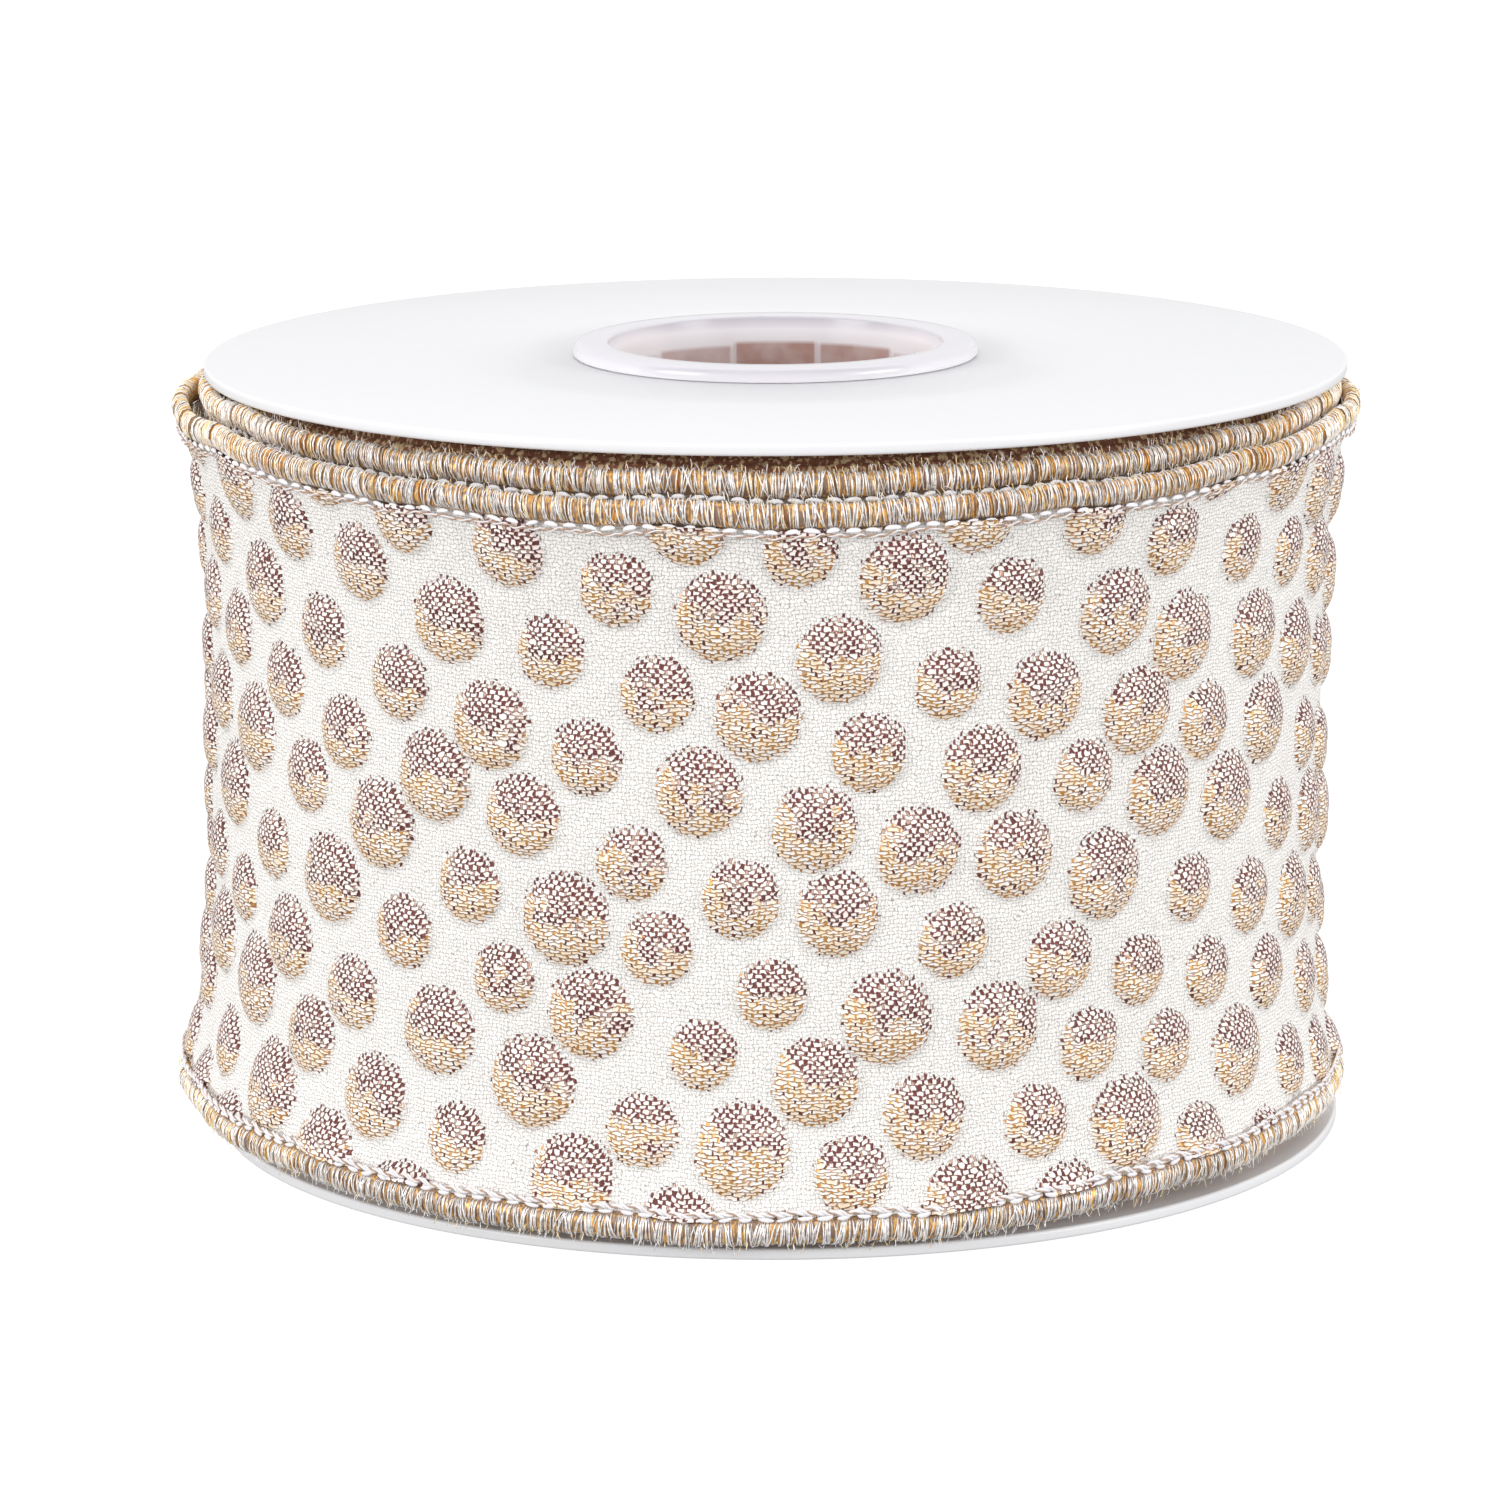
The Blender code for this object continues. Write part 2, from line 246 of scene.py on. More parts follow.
def relief(tree, height, strength, distance):
    """A normal tilted by a height."""
    return put(tree, "Bump", {"Height": height, "Strength": strength, "Distance": distance}).outputs[0]


def kraft_board():
    """Brown board: fine fibres over slow clouds of light and dark."""
    made, tree, shader = finish("kraft_board")
    place = on_object(tree)
    fibre, cloud = noise(tree, place, 900.0, 5.0), noise(tree, place, 90.0)
    mottle = calc(tree, "MULTIPLY_ADD", fibre, 0.5, calc(tree, "MULTIPLY", cloud, 0.5))
    feed(tree, shader, {"Base Color": colours(tree, mottle, (0.33, 0.15, 0.10), (0.62, 0.38, 0.30)),
                        "Roughness": 0.85, "Normal": relief(tree, fibre, 0.3, 0.0002)})
    return made


low, high = core_low.z / MM, core_high.z / MM
core = turned("kraft_core", [(CORE_IN, low), (CORE_OUT, low), (CORE_OUT, high), (CORE_IN, high)], steps=144)
core.data.materials.append(kraft_board())
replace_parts(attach(core, "wound_core"), "core_tube")

# ---------------------------------------------------------------------------------------------
# Flanges. Flat discs die-cut from white plastic sheet, loose between collar and core so they can turn.
# The cut rim is slightly rounded and catches the light.
FLANGE_R = flange_high.x / MM
FLANGE_THICK = (flange_high.z - flange_low.z) / MM
HOLE_R = RIB_R + 0.35
MIDWAY_R = 30              # a ring of points here keeps the faces short
RIM_EASE = 0.28


def white_sheet():
    """White sheet plastic: even colour with a faint cool cast, soft sheen and a very slight orange-peel."""
    made, tree, shader = finish("white_sheet")
    place = on_object(tree)
    cloud, peel = noise(tree, place, 24.0), noise(tree, place, 700.0)
    feed(tree, shader, {
        "Base Color": colours(tree, cloud, (0.76, 0.76, 0.78), (0.79, 0.79, 0.805)),
        "Roughness": put(tree, "MapRange", {"Value": peel, "To Min": 0.28, "To Max": 0.40}).outputs[0],
        "Specular IOR Level": 0.45, "Normal": relief(tree, peel, 0.06, 0.0002)})
    return made


def flange(name, low, body):
    """A disc's section carried round the axis: a quarter-round on each corner of the rim."""
    high = low + FLANGE_THICK
    bend = np.linspace(0, math.pi / 2, 5)
    rim = FLANGE_R - RIM_EASE
    under = [(rim + RIM_EASE * math.sin(a), low + RIM_EASE - RIM_EASE * math.cos(a)) for a in bend]
    over = [(rim + RIM_EASE * math.cos(a), high - RIM_EASE + RIM_EASE * math.sin(a)) for a in bend]
    outline = [(HOLE_R, low + 0.1), (HOLE_R + 0.1, low), (MIDWAY_R, low), *under, *over,
               (MIDWAY_R, high), (HOLE_R + 0.1, high), (HOLE_R, high - 0.1)]
    made = turned(name, outline, steps=288)
    made.data.materials.append(flange_finish)
    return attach(made, body)


flange_finish = white_sheet()
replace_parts(flange("lower_disc", flange_low.z / MM, "bottom_flange"), "bottom_flange")
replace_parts(flange("upper_disc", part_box("top_flange")[0].z / MM, "top_flange"), "top_flange")

# ---------------------------------------------------------------------------------------------
# Start tape. A strip of yellowish double-sided tape holds the ribbon's first end on the core.
# It is never seen, so the strip keeps its plain shape.


def clear_tape():
    """Yellowish glossy tape with trapped air as small cloudy patches."""
    made, tree, shader = finish("clear_tape")
    air = put(tree, "TexVoronoi", {"Vector": on_object(tree), "Scale": 600.0}).outputs["Distance"]
    feed(tree, shader, {"Base Color": colours(tree, air, (0.80, 0.74, 0.55), (0.92, 0.90, 0.80)),
                        "Roughness": 0.25})
    return made


tape_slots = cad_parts["start_tape"].material_slots
tape_slots[0].material = clear_tape()

# ---------------------------------------------------------------------------------------------
# Inner turns. The rest of the 4.6 m of ribbon, wound clockwise from the core out and hidden but for the
# crests of its overlocked hems, in the dark gap under the top flange. Turns are counted from the back: 0
# begins the second turn from outside, 1 the outer turn and 2 the loose tail.
STAGGER = 1.08             # each turn lies this much high or low by turns, so that the hems nest
INNER_TURNS = 18.4
INNER_POINTS = 90          # points to a turn
PACK_OUT = 47.8
TURN_PITCH = 1.2
HEM_PITCH = 2.0
HEM_FLARE = 1.15
INNER_FLARE = 0.25
FLARE_POWER = 4
HEM_HIGH = 2.3
TAIL_TURN = 35 / 360
TAIL_LIFT = 0.25
LEAN = (-0.35, -0.3)       # the loose outer turn sits this much off centre at its top edge,
LEAN_LOW = -1.1            # and this much to the left at its bottom edge
SIDE_RISE = (0.9, 1.8)     # second and outer turn both ride up at the left and the right
hem_low, hem_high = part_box("outer_turn_bottom_hem")[0].z / MM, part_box("second_turn_top_hem")[1].z / MM
RIBBON_MID = (hem_low + hem_high) / 2
HEM_MID = (hem_high - hem_low) / 2 - STAGGER - HEM_HIGH / 2
WRAP_R = CORE_OUT + 0.61
RIPPLE_TURNS = np.array([5.0, 8.0, 13.0, 19.0, 31.0, 47.0])
RIPPLE_PHASE = np.random.default_rng(5).uniform(0, 2 * math.pi, (4, 6))
RIPPLE_SIZE = np.array([0.07, 0.08, 0.08, 0.07, 0.06, 0.04])


def ripple(turns, kind):
    """Slow unevenness along the ribbon: a sum of six sine waves with fixed phases.

    Kinds 0 and 1 are the height of the top and bottom hem, and 2 and 3 their distance out."""
    waves = np.sin(2 * math.pi * RIPPLE_TURNS * np.asarray(turns)[..., None] + RIPPLE_PHASE[kind])
    return (waves * RIPPLE_SIZE).sum(-1)


def stagger(turns):
    """Height offset, up on even turns and down on odd ones: tanh of a steep sine."""
    return STAGGER * np.tanh(4 * np.sin(math.pi * turns)) / math.tanh(4)


def waist_radius(turns):
    """Radius of the cloth half way up: it grows evenly with the turns and springs out at the tail."""
    inner = PACK_OUT + turns * (PACK_OUT - WRAP_R) / INNER_TURNS
    outer = PACK_OUT + turns * TURN_PITCH
    return np.where(turns < 0, inner, outer) + TAIL_LIFT * np.clip((turns - 2) / TAIL_TURN, 0, 1)


def edge_flare(turns):
    """How far a hem stands outside the waist."""
    outer = HEM_FLARE + turns * (HEM_PITCH - TURN_PITCH)
    return np.where(turns < 0, INNER_FLARE, outer)


def on_ribbon(turns, across, lift=0.0):
    """Points on the ribbon. across runs from -1 at the bottom hem's middle to 1 at the top one's.

    The radius is the waist's plus the flare times across to the fourth power, and both hems wander a
    little in height and radius. lift moves a point straight out from the axis."""
    turns, across, lift = np.broadcast_arrays(np.asarray(turns, float), across, lift)
    bend = np.abs(across) ** FLARE_POWER
    side = np.where(across > 0, 0, 1)
    wander_z = np.where(side == 0, ripple(turns, 0), ripple(turns, 1)) * np.abs(across) ** 2
    wander_r = np.where(side == 0, ripple(turns, 2), ripple(turns, 3)) * bend * 0.8
    wander = np.clip(turns * 4, 0, 1)
    radius = waist_radius(turns) + edge_flare(turns) * bend + wander_r * wander + lift
    angle = math.pi / 2 - 2 * math.pi * turns
    fade = np.clip((turns - 1) * 5, 0, 1)
    rise = (SIDE_RISE[0] + (SIDE_RISE[1] - SIDE_RISE[0]) * fade) * np.cos(angle) ** 2 * wander
    z = RIBBON_MID + stagger(turns) + across * HEM_MID + wander_z * wander + rise
    left = (LEAN[0] + (LEAN_LOW - LEAN[0]) * np.clip((1 - across) / 2, 0, 1)) * fade
    return np.stack([np.cos(angle) * radius + left, np.sin(angle) * radius + LEAN[1] * fade, z], -1)


def run_length(turns):
    """Millimetres of ribbon from turn 0, by its pitch circle."""
    return 2 * math.pi * (PACK_OUT * turns + TURN_PITCH * turns ** 2 / 2)


def plain_cloth():
    """Plain off-white cloth for turns that nobody sees: fine brown and cream noise."""
    made, tree, shader = finish("plain_cloth")
    thread = noise(tree, on_object(tree), 2500.0)
    feed(tree, shader, {"Base Color": colours(tree, thread, (0.52, 0.45, 0.38), (0.80, 0.76, 0.70)),
                        "Roughness": 0.9})
    return made


def shaded_hem():
    """Overlock thread deep in the roll, painted dark brown for the shade in the gap under the top flange,
    with gold streaks from noise stretched up the hem that are partly the thread's gold and partly painted
    glints.

    A faint glow stands for the light that the film threads throw on one another."""
    made, tree, shader = finish("shaded_hem")
    long = put(tree, "Mapping", {"Vector": on_object(tree), "Scale": (1.0, 1.0, 0.15)}).outputs[0]
    streak = noise(tree, long, 2200.0)
    # Painted shade with painted glints: dark brown for the shaded gap, and sparse gold streaks.
    thread = colours(tree, step(tree, streak, 0.50, 0.58), (0.36, 0.15, 0.09), (1.0, 0.76, 0.46))
    feed(tree, shader, {"Base Color": thread, "Emission Color": thread, "Emission Strength": 0.05,
                        "Roughness": 0.5, "Metallic": 0.3, "Normal": relief(tree, streak, 0.8, 0.0003)})
    return made


def weld(mesh):
    """Merge coinciding points, such as at a pole, and turn every face outwards."""
    work = bmesh.new()
    work.from_mesh(mesh)
    bmesh.ops.remove_doubles(work, verts=work.verts, dist=1e-7)
    bmesh.ops.recalc_face_normals(work, faces=work.faces)
    work.to_mesh(mesh)
    work.free()


def mark(made, key, values):
    """Store a number on each point of a mesh."""
    layer = made.data.attributes.new(key, "FLOAT", "POINT")
    layer.data.foreach_set("value", values.astype(np.float32).ravel())


def hem_frame(turns, side):
    """Middle of a hem, and the directions straight out from the axis and along the ribbon."""
    angle = math.pi / 2 - 2 * math.pi * np.asarray(turns, float)
    out = np.stack([np.cos(angle), np.sin(angle), 0 * angle], -1)
    along = np.stack([np.sin(angle), -np.cos(angle), 0 * angle], -1)
    return on_ribbon(turns, side), out, along


def hem_roll(name, turns, side, radial, high, sides):
    """An oval carried along a hem's middle and closed at both ends: out radial cos b, up high sin b.

    Each point's crest value runs from -1 on the cloth side to 1 on the free side."""
    centre, out, _ = hem_frame(turns, side)
    around = -np.arange(sides) / sides * 2 * math.pi
    grid = centre[:, None] + out[:, None] * (radial * np.cos(around))[:, None]
    grid = grid + np.array([0, 0, 1.0]) * (high * np.sin(around))[:, None]
    tips = np.broadcast_to(centre[[0, -1], None], (2, sides, 3))
    made = surface(name, np.concatenate([tips[:1], grid, tips[1:]]), around=True)
    mark(made, "crest", np.tile(side * np.sin(around), len(turns) + 2))
    weld(made.data)
    return made


inner = np.linspace(-INNER_TURNS, 0, int(INNER_TURNS * INNER_POINTS))
strip = surface("inner_cloth", on_ribbon(inner[:, None], np.array([[-0.96, -0.5, 0.5, 0.96]])))
plain_finish = plain_cloth()
strip.data.materials.append(plain_finish)
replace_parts(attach(strip, "wound_core"), "ribbon_inner_turns")
deep_finish = shaded_hem()
for word, side in (("top", 1.0), ("bottom", -1.0)):
    roll = hem_roll(f"inner_{word}_hem", inner, side, radial=0.58, high=1.05, sides=8)
    roll.data.materials.append(deep_finish)
    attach(roll, "wound_core")

# ---------------------------------------------------------------------------------------------
# Second turn. Only its top hem shows, nested above the outer turn's; its cloth is behind the outer cloth.
# Each hem is rolled round a wire and bound by fine metallic and white thread, a dozen passes to a stitch.
# A row of white stitches and a laid cord mark the hem's cloth side.
ROLL_OUT, ROLL_UP = 0.66, 1.04         # half width and half height of a rolled hem
ROLL_POINTS = 400                      # points to a turn
BACKING_POINTS = 160
EDGE_TURN = 2 * math.pi * (PACK_OUT + HEM_FLARE + HEM_PITCH * 1.5)
STITCH = 1.65                          # from one stitch to the next
PASSES = 12                            # threads to a stitch
THREAD_WIDE = 0.115
THREAD_ARC = (-68, 150)                # degrees round the roll, from the cloth side over the crest
STRAY_SHARE = 0.28                     # of the threads, lying loose on top
HAIRS = 1200                           # to a turn
HAIR_CLEAR = 0.08                      # between a hair and the flange above it
STITCH_DROP = 1.22                     # stitches sit this far from the hem's middle, towards the cloth
CORD_DROP = 1.60
TOP_CORDS = ((0.085, 0.0), (0.085, 1.0))       # radius and tone of each laid cord
BOTTOM_CORDS = ((0.17, 1.0), (0.17, 1.0), (0.08, 0.0))
CLOTH_ACROSS = 0.965                   # the cloth's visible share of the height between hem middles


def value_of(tree, key):
    """A number stored on the mesh."""
    return put(tree, "Attribute", attribute_name=key).outputs["Fac"]


def strands(name, path, out, wide, half_wide, half_thick, tone):
    """Many short threads in one mesh, each a four-sided tube with closed ends.

    path, out and wide are shaped (threads, points, 3): the line, its outward direction and its width's
    direction. Round the tube, angle b stands wide cos b and out sin b from the line."""
    count, points = path.shape[:2]
    around = np.arange(4) / 4 * 2 * math.pi
    taper = np.ones(points)
    taper[[0, -1]] = 0.35
    across = wide[:, :, None] * (half_wide[..., None] * np.cos(around))[..., None]
    above = out[:, :, None] * (half_thick * np.sin(around))[None, None, :, None]
    tube = path[:, :, None] + (across + above) * taper[None, :, None, None]
    index = np.arange(count * points * 4).reshape(count, points, 4)
    turned_on = np.roll(index, -1, axis=2)
    sides = np.stack([index[:, :-1], turned_on[:, :-1], turned_on[:, 1:], index[:, 1:]], -1).reshape(-1, 4)
    caps = np.concatenate([index[:, 0, ::-1], index[:, -1]])
    made = quad_mesh(name, tube, np.concatenate([sides, caps]))
    mark(made, "tone", np.broadcast_to(tone[:, None, None], index.shape))
    return made


def passes(name, first, last, side, chance):
    """Binding threads: each starts bunched at its stitch and fans out over the roll to the far side.

    A thread runs through angle b of the roll's oval, from the cloth side over the crest. Its place along
    the hem goes from the bunched to the fanned one as b grows, plus a slow bow. Gold and orange threads
    gather over a stitch's middle and silver ones between two stitches. Some stray far and lie on top. The
    tones draw towards gold at the spool's left and right, a painted sheen for the side light there, and the
    bottom hem is whiter than the top."""
    rim = EDGE_TURN * (last - first)
    cells = int(rim / STITCH)
    spot = np.repeat((np.arange(cells) + 0.5) * rim / cells, PASSES)
    order = np.tile((np.arange(PASSES) + 0.5) / PASSES - 0.5, cells)
    mood = np.repeat(chance.normal(0, 0.16, cells), PASSES)
    count = len(spot)
    wild = chance.random(count) < STRAY_SHARE
    begin = spot + order * 1.15 + chance.normal(0, 0.06, count)
    finish_at = spot + order * STITCH * 1.05 + chance.normal(0.34, 0.34, count)
    finish_at += np.where(wild, chance.normal(0, 0.7, count), 0)
    b = np.radians(np.linspace(*THREAD_ARC, 8))
    share = (b - b[0]) / (b[-1] - b[0])
    place = begin[:, None] + (finish_at - begin)[:, None] * share ** 0.8
    place = place + chance.normal(0, 0.12, count)[:, None] * np.sin(share * math.pi)
    centre, out, along = hem_frame(first + np.clip(place / rim, 0, 1) * (last - first), side)
    up = np.array([0, 0, float(side)])
    proud = 0.02 + np.where(wild, 0.20, chance.uniform(0, 0.16, count))[:, None] * np.sin(share * math.pi)
    cos, sin = np.cos(b)[None, :, None], np.sin(b)[None, :, None]
    path = centre + out * (ROLL_OUT + proud[..., None]) * cos + up * (ROLL_UP + proud[..., None]) * sin
    normal = out * cos + up * sin
    half = np.broadcast_to(chance.uniform(0.7, 1.25, count)[:, None] * THREAD_WIDE / 2, place.shape)
    near = 1 - np.abs(order) * 2
    # Painted sheen: at the spool's left and right the tones are drawn towards gold, for the side light.
    side_sheen = np.abs(np.sin(2 * math.pi * (first + spot / rim * (last - first)))) ** 3
    tone = chance.random(count) * (0.62 + 0.33 * near) + 0.12 * near + mood
    tone = np.where(wild, chance.uniform(0, 0.45, count), tone)
    tone = np.clip(tone, 0, 1) * (1.0 if side > 0 else 0.68)
    tone = tone * (1 - 0.60 * side_sheen) + 0.53 * side_sheen
    return strands(name, path, normal, along, half, 0.05, np.clip(tone, 0, 1))


def stitches(name, first, last, side, chance):
    """White stitches: small domes with a straight side towards the cloth.

    Over a grid of length u and height v, a dome bulges as the root of one minus u squared minus v
    squared, and its cloth side is pressed flat."""
    rim = EDGE_TURN * (last - first)
    count = int(rim / STITCH)
    spot = (np.arange(count) + 0.5) * rim / count + chance.normal(0, 0.05, count)
    centre, out, along = hem_frame(first + spot / rim * (last - first), side)
    up = np.array([0, 0, float(side)])
    rings, spokes = 6, 8
    lat = np.radians(np.linspace(-90, 90, rings))[:, None]
    lon = (np.arange(spokes) / spokes * 2 * math.pi)[None, :]
    u, v, w = np.sin(lat) + 0 * lon, np.cos(lat) * np.cos(lon), np.cos(lat) * np.sin(lon)
    v = np.where(v < 0, v * 0.35, v)
    long = chance.uniform(0.56, 0.74, count)[:, None, None, None]
    high = chance.uniform(0.27, 0.36, count)[:, None, None, None]
    tilt = chance.normal(0, 0.12, count)[:, None, None, None]
    wide = along[:, None, None] + up * tilt
    base = centre - up * STITCH_DROP + out * 0.40
    points = base[:, None, None] + wide * (u[None, ..., None] * long) + up * (v[None, ..., None] * high)
    points = points + out[:, None, None] * w[None, ..., None] * 0.15
    index = np.arange(count * rings * spokes).reshape(count, rings, spokes)
    joined = np.concatenate([index, index[:, :, :1]], 2)
    quads = np.stack([joined[:, :-1, :-1], joined[:, :-1, 1:], joined[:, 1:, 1:], joined[:, 1:, :-1]], -1)
    made = quad_mesh(name, points, quads.reshape(-1, 4))
    weld(made.data)
    return made


def laid_cord(name, first, last, side, cords, chance):
    """Cords twisted round one another along the hem: each a helix a little off the common line."""
    rim = EDGE_TURN * (last - first)
    points = int(rim / 0.2)
    place = np.linspace(0, rim, points)
    centre, out, _ = hem_frame(first + place / rim * (last - first), side)
    up = np.array([0, 0, float(side)])
    wobble = sum(0.05 * np.sin(place * f + p) for f, p in zip((0.9, 2.3, 4.1), chance.uniform(0, 6, 3)))
    lines = []
    for k, (radius, _) in enumerate(cords):
        turn = 2 * math.pi * (place / STITCH + k / len(cords))
        line = centre - up * (CORD_DROP + wobble)[:, None] + out * 0.42
        line = line + up * (np.cos(turn) * radius * 0.9)[:, None]
        lines.append(line + out * (np.sin(turn) * radius * 0.5)[:, None])
    path = np.stack(lines)
    half = np.stack([np.full(points, radius) for radius, _ in cords])
    tones = np.array([tone for _, tone in cords])
    normal, wide = np.broadcast_to(out, path.shape), np.broadcast_to(up, path.shape)
    return strands(name, path, normal, wide, half, 0.10, tones)


def hairs(name, first, last, side, chance, count):
    """Stray film ends: short bent hairs that stand up from the crest and lean either way.

    Those below the top flange lie down against it."""
    place = chance.uniform(0, 1, count)
    grow = np.linspace(0, 1, 5)[None, :]
    lean = chance.normal(0.1, 0.28, count)[:, None] * grow ** 1.2
    rim = EDGE_TURN * (last - first)
    turns = first + np.clip(place[:, None] + lean / rim, 0, 1) * (last - first)
    centre, out, along = hem_frame(turns, side)
    up = np.array([0, 0, float(side)])
    start = np.radians(chance.uniform(20, 120, count))[:, None, None]
    tall = chance.uniform(0.2, 0.95, count)[:, None, None]
    normal = out * np.cos(start) + up * np.sin(start)
    path = centre + out * ROLL_OUT * np.cos(start) + up * ROLL_UP * np.sin(start)
    path = path + (normal * 0.5 + up * 0.5) * tall * np.sin(grow * 1.6)[..., None]
    below = np.hypot(path[..., 0], path[..., 1]) < FLANGE_R + 0.2
    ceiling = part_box("top_flange")[0].z / MM - HAIR_CLEAR
    path[..., 2] = np.where(below, np.minimum(path[..., 2], ceiling), path[..., 2])
    half = np.broadcast_to(chance.uniform(0.025, 0.042, (count, 1)), (count, 5))
    return strands(name, path, normal, along, half, 0.03, chance.choice([0.1, 0.2, 0.45, 0.7, 0.7], count))


def binding_thread():
    """Film-covered thread: silver white, pale gold, orange brown or grey, by each thread's own tone.

    From 34 mm to the left or right it has a faint painted glow, for the side light that the film catches."""
    made, tree, shader = finish("binding_thread")
    ramp = put(tree, "ValToRGB", {"Fac": value_of(tree, "tone")})
    ramp.color_ramp.interpolation = "CONSTANT"
    stops = ((0.0, (1.0, 0.98, 0.97)), (0.32, (0.60, 0.54, 0.50)), (0.38, (1.0, 0.97, 0.94)),
             (0.61, (0.25, 0.17, 0.12)), (0.64, (1.0, 0.78, 0.44)), (0.81, (0.80, 0.38, 0.09)),
             (0.95, (0.30, 0.12, 0.04)))
    for k, (at, colour) in enumerate(stops):
        stop = ramp.color_ramp.elements[k] if k < 2 else ramp.color_ramp.elements.new(at)
        stop.position, stop.color = at, (*colour, 1)
    place = on_object(tree)
    fleck = noise(tree, place, 2400.0)
    shade = put(tree, "MapRange", {"Value": fleck, "From Min": 0.40, "From Max": 0.50, "To Min": 0.62})
    grey = put(tree, "CombineColor", {k: shade.outputs[0] for k in range(3)}).outputs[0]
    thread = put(tree, "Mix", {0: 0.8, 6: ramp.outputs[0], 7: grey}, data_type="RGBA",
                 blend_type="MULTIPLY").outputs[2]
    # Painted glow: the threads at the spool's left and right glow faintly, for the side light on the film.
    aside = calc(tree, "ABSOLUTE", put(tree, "SeparateXYZ", {0: place}).outputs[0])
    glow = calc(tree, "MULTIPLY", step(tree, aside, 0.034, 0.047), 0.13)
    feed(tree, shader, {"Base Color": thread, "Emission Color": thread, "Emission Strength": glow,
                        "Metallic": 0.25, "Roughness": 0.30})
    return made


def under_thread():
    """The thread beneath, seen in the gaps: dark brown, and orange gold at the crest and in patches.

    The brown is painted lighter at the spool's left and right, for the side light there."""
    made, tree, shader = finish("under_thread")
    place = on_object(tree)
    long = put(tree, "Mapping", {"Vector": place, "Scale": (1.0, 1.0, 0.2)}).outputs[0]
    crest = step(tree, value_of(tree, "crest"), 0.55, 0.95)
    crisp = step(tree, calc(tree, "MULTIPLY_ADD", crest, 0.14, noise(tree, long, 4600.0)), 0.50, 0.62)
    aside = calc(tree, "ABSOLUTE", put(tree, "SeparateXYZ", {0: place}).outputs[0])
    # Painted light: the brown is lighter at the left and right, where the side light falls.
    brown = colours(tree, step(tree, aside, 0.030, 0.047), (0.30, 0.19, 0.13), (0.50, 0.28, 0.10))
    feed(tree, shader, {"Base Color": colours(tree, crisp, brown, (0.88, 0.48, 0.12)),
                        "Roughness": 0.4, "Metallic": 0.3})
    return made


def spun_white():
    """White spun polyester, matt, with a fine twist in its colour."""
    made, tree, shader = finish("spun_white")
    twist = noise(tree, on_object(tree), 5000.0)
    feed(tree, shader, {"Base Color": colours(tree, twist, (0.78, 0.76, 0.80), (0.98, 0.97, 1.0)),
                        "Roughness": 0.7})
    return made


def cord_finish():
    """Laid cord: white or brown by its tone."""
    made, tree, shader = finish("laid_cord")
    twist = noise(tree, on_object(tree), 3600.0)
    white = colours(tree, twist, (0.72, 0.68, 0.68), (0.97, 0.95, 0.97))
    brown = colours(tree, twist, (0.22, 0.10, 0.06), (0.70, 0.50, 0.36))
    feed(tree, shader, {"Base Color": colours(tree, value_of(tree, "tone"), brown, white),
                        "Roughness": 0.6})
    return made


def steel_wire():
    """Dull annealed wire, a little uneven in gloss."""
    made, tree, shader = finish("steel_wire")
    worn = noise(tree, on_object(tree), 1200.0)
    gloss = put(tree, "MapRange", {"Value": worn, "To Min": 0.3, "To Max": 0.55}).outputs[0]
    feed(tree, shader, {"Base Color": (0.50, 0.46, 0.40, 1), "Metallic": 1.0, "Roughness": gloss})
    return made


thread_finish, under_finish, stitch_finish = binding_thread(), under_thread(), spun_white()
cords_finish, wire_finish = cord_finish(), steel_wire()


def bound_hem(label, word, first, last, seed, place_on, fine=True):
    """A hem with its roll and wire, set on its body; a fine one has threads, stitches, cord and hairs."""
    side = 1.0 if word == "top" else -1.0
    chance = np.random.default_rng(seed)
    turns = np.linspace(first, last, max(8, int((last - first) * ROLL_POINTS)))
    roll = hem_roll(f"{label}_{word}_roll", turns, side, ROLL_OUT, ROLL_UP, sides=14)
    roll.data.materials.append(under_finish)
    wire = hem_roll(f"{label}_{word}_core_wire", turns, side, radial=0.2, high=0.2, sides=8)
    wire.data.materials.append(wire_finish)
    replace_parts(roll, f"{label}_{word}_hem")
    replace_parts(wire, f"{label}_{word}_wire")
    made = [(roll, "hem_thread"), (wire, "edge_wire")]
    if fine:
        bound = passes(f"{label}_{word}_binding", first, last, side, chance)
        bound.data.materials.append(thread_finish)
        row = stitches(f"{label}_{word}_stitches", first, last, side, chance)
        row.data.materials.append(stitch_finish)
        cords = TOP_CORDS if side > 0 else BOTTOM_CORDS
        cord = laid_cord(f"{label}_{word}_cord", first, last, side, cords, chance)
        cord.data.materials.append(cords_finish)
        stray = hairs(f"{label}_{word}_hairs", first, last, side, chance, int((last - first) * HAIRS))
        stray.data.materials.append(thread_finish)
        made += [(bound, "hem_thread"), (row, "hem_thread"), (cord, "hem_thread"), (stray, "hem_thread")]
    for piece, finish_slot in made:
        place_on(piece)
    return [piece for piece, _ in made]


def on_core(piece):
    """The piece turns with the core."""
    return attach(piece, "wound_core")


def backing(name, first, last, outward=False):
    """The plain cloth behind the dots, lying just inside it and facing the axis unless it is outward."""
    turns = np.linspace(first, last, max(12, int((last - first) * BACKING_POINTS)))
    grid = on_ribbon(turns[:, None], np.linspace(-CLOTH_ACROSS, CLOTH_ACROSS, 15)[None], -0.15)
    made = surface(name, grid[:, ::-1] if outward else grid)
    made.data.materials.append(plain_finish)
    return made


second_hems = bound_hem("second_turn", "top", 0.0, 1.0, 21, on_core)
second_hems += bound_hem("second_turn", "bottom", 0.0, 1.0, 22, on_core, fine=False)
second_cloth = on_core(backing("second_cloth", 0.0, 1.0, outward=True))
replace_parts(second_cloth, "ribbon_second_turn")

